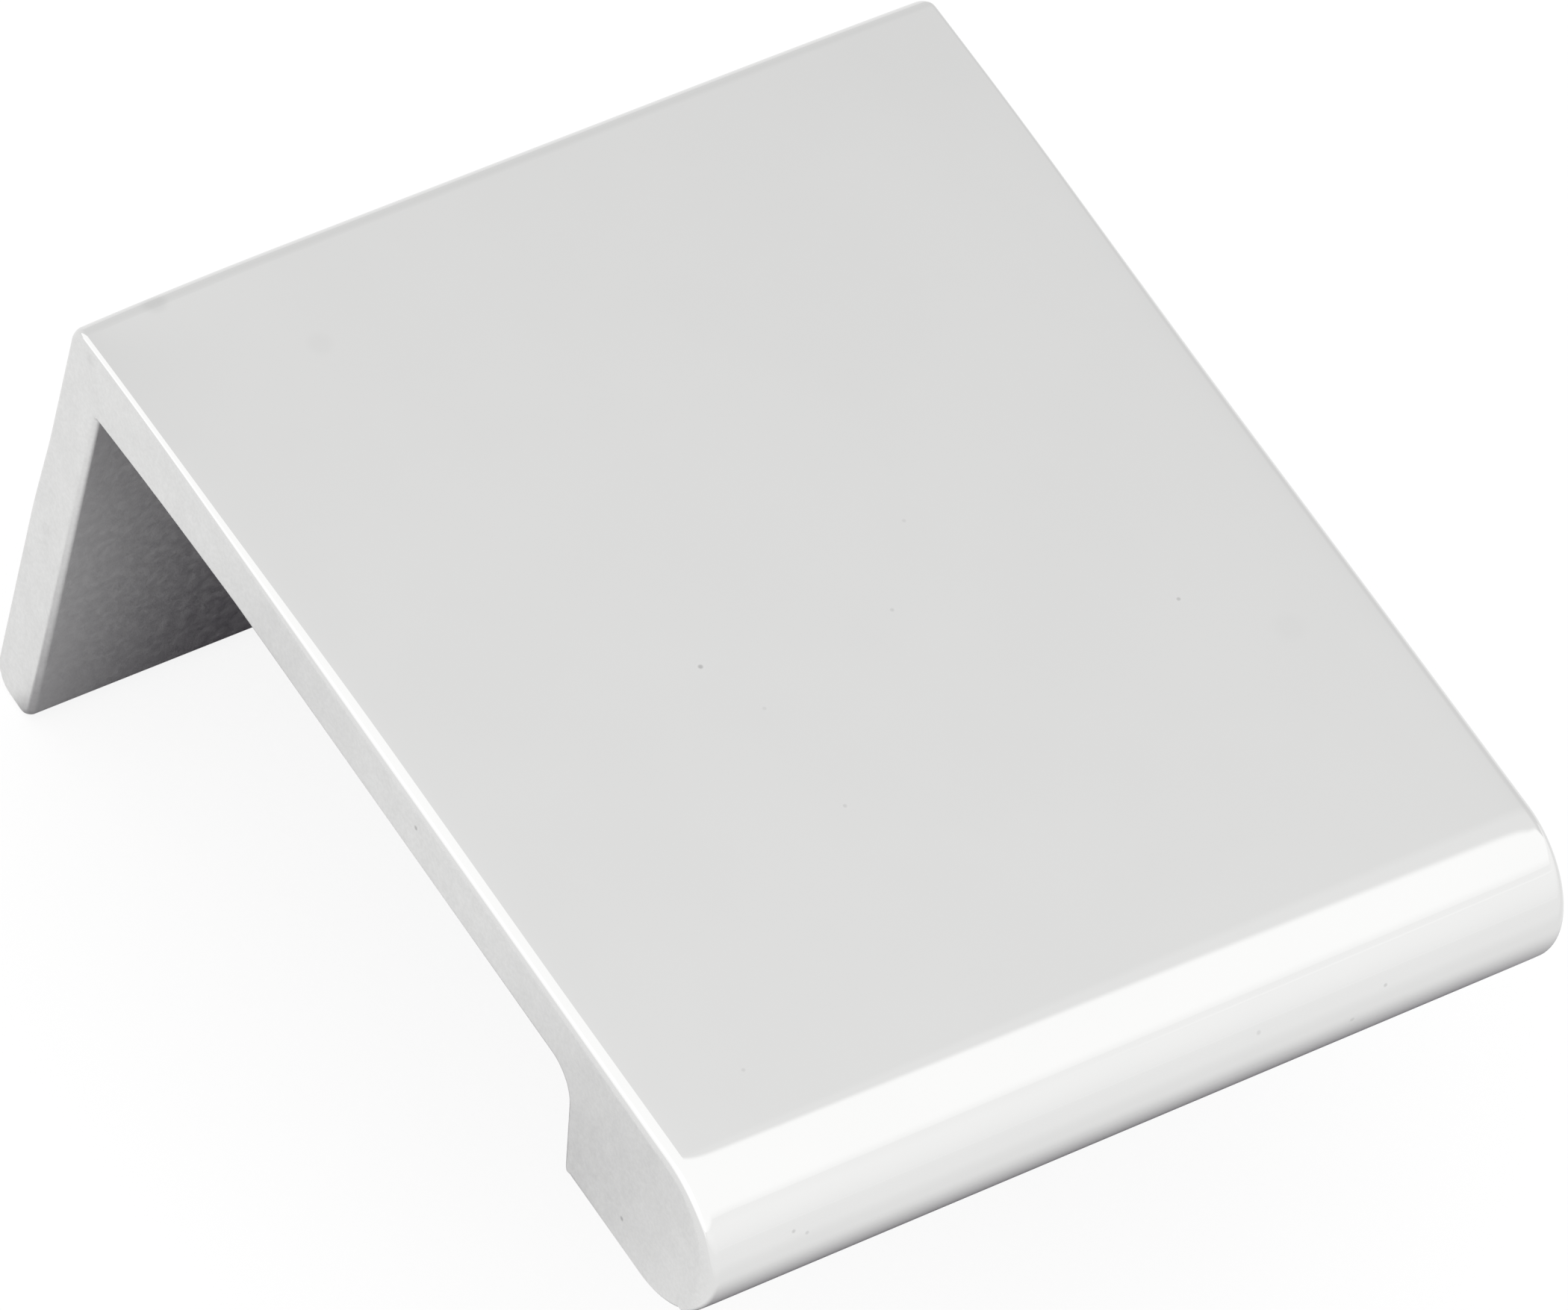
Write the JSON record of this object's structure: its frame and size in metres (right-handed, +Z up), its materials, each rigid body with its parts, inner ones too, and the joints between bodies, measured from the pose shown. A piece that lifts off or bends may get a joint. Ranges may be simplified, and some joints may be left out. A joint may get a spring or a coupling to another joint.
{
  "type": "tab pull",
  "caption": "Cabinet tab pull: flat plate over the top edge of a door or drawer front, drilled leg behind it and a rounded lip to hook fingers under.",
  "frame": {"origin": "on the leg's inner face, midway between the two screw holes", "axes": "+X along the pull's length, +Y from the lip towards the leg, which is the back, +Z up, out of the plate's top face"},
  "size_m": [0.033, 0.0399, 0.0192],
  "materials": {
    "polished_chrome": "polished chrome plate; the two end faces and the leg's inner face are duller, with a fine mottle"
  },
  "bodies": {
    "root": {"tab_pull": "polished_chrome"}
  },
  "joints": []
}
